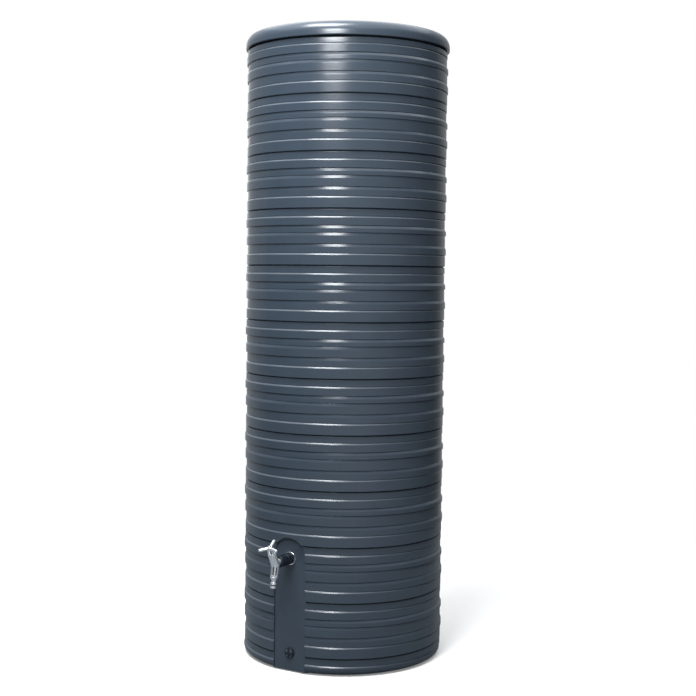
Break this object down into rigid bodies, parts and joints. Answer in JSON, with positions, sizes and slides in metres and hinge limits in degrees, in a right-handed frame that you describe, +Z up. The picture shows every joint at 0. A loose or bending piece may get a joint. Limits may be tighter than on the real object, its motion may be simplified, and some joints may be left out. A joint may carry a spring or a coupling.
{
  "type": "rainwater tank",
  "caption": "Tall round rainwater tank with a wall of staggered stone-like slabs, a domed lid, an arched tap panel with a star-handled tap and hose nipple, and a drain plug near the floor.",
  "frame": {"origin": "centre of the base on the floor, on the tank's axis", "axes": "+Z up the tank's axis, -Y out of the tap panel, +X to the right when facing the tap"},
  "size_m": [0.6142, 0.7202, 1.872],
  "materials": {
    "anthracite_plastic": "satin, lightly grained anthracite polyethylene",
    "black_plastic": "satin black",
    "black_rubber": "matt",
    "satin_chrome": "satin",
    "bright_chrome": "polished",
    "screw_steel": "plain",
    "insert_brass": "machined"
  },
  "bodies": {
    "tank": {"tank_body": "anthracite_plastic", "lid": "anthracite_plastic", "tank_connector": "black_plastic", "connector_nut": "black_plastic", "union_nut": "black_plastic", "connector_seal": "black_rubber", "tap_seal": "black_rubber", "port_seal": "black_rubber", "nipple_washer": "black_rubber", "nipple_o_ring": "black_rubber", "drain_seal": "black_rubber", "connector_ring": "bright_chrome", "tap_body": "satin_chrome", "bonnet_nut": "satin_chrome", "hose_nipple": "satin_chrome", "drain_insert": "insert_brass", "drain_plug": "black_plastic"},
    "handle": {"tap_handle": "satin_chrome", "handle_screw": "screw_steel", "valve_plug": "black_plastic", "plug_o_ring": "black_rubber"}
  },
  "joints": [
    {"name": "handle_turn", "type": "hinge", "parent": "tank", "child": "handle", "pos_m": [0, -0.367, 0.327], "axis": [0, -0.454, 0.891], "range_deg": [0, 90]}
  ]
}
